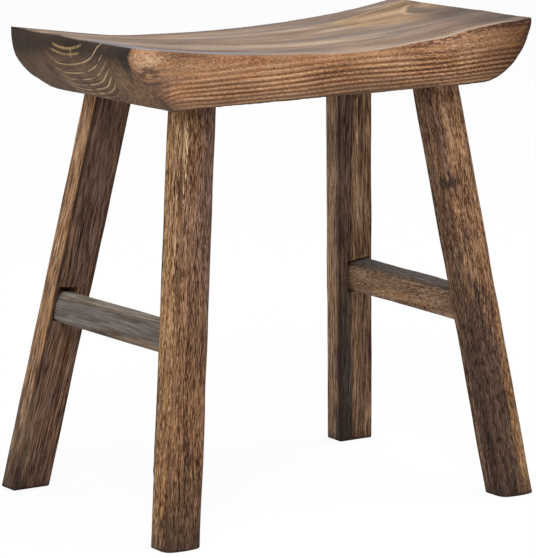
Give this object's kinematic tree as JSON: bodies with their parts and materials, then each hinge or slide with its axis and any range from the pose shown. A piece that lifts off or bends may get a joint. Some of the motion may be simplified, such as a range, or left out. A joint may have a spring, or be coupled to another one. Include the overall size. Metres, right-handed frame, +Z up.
{
  "type": "saddle stool",
  "caption": "Wooden stool with a seat hollowed like a saddle from one thick plank, on splayed legs joined by a stretcher at each end.",
  "frame": {"origin": "on the floor, under the middle of the stool", "axes": "+Z up, +X along the seat to its right end as seen from the front, +Y to the back"},
  "size_m": [0.4438, 0.296, 0.4542],
  "materials": {
    "seat_wood": "scorched, brushed, dark stained, matt wax",
    "leg_wood": "scorched, brushed, dark stained, matt wax",
    "stretcher_wood": "scorched, brushed, dark stained, matt wax",
    "wedge_wood": "bare, hidden in the joint"
  },
  "bodies": {
    "root": {"seat": "seat_wood", "leg_front_left": "leg_wood", "leg_back_left": "leg_wood", "leg_front_right": "leg_wood", "leg_back_right": "leg_wood", "stretcher_left": "stretcher_wood", "stretcher_right": "stretcher_wood", "wedge_front_left": "wedge_wood", "wedge_back_left": "wedge_wood", "wedge_front_right": "wedge_wood", "wedge_back_right": "wedge_wood"}
  },
  "joints": []
}
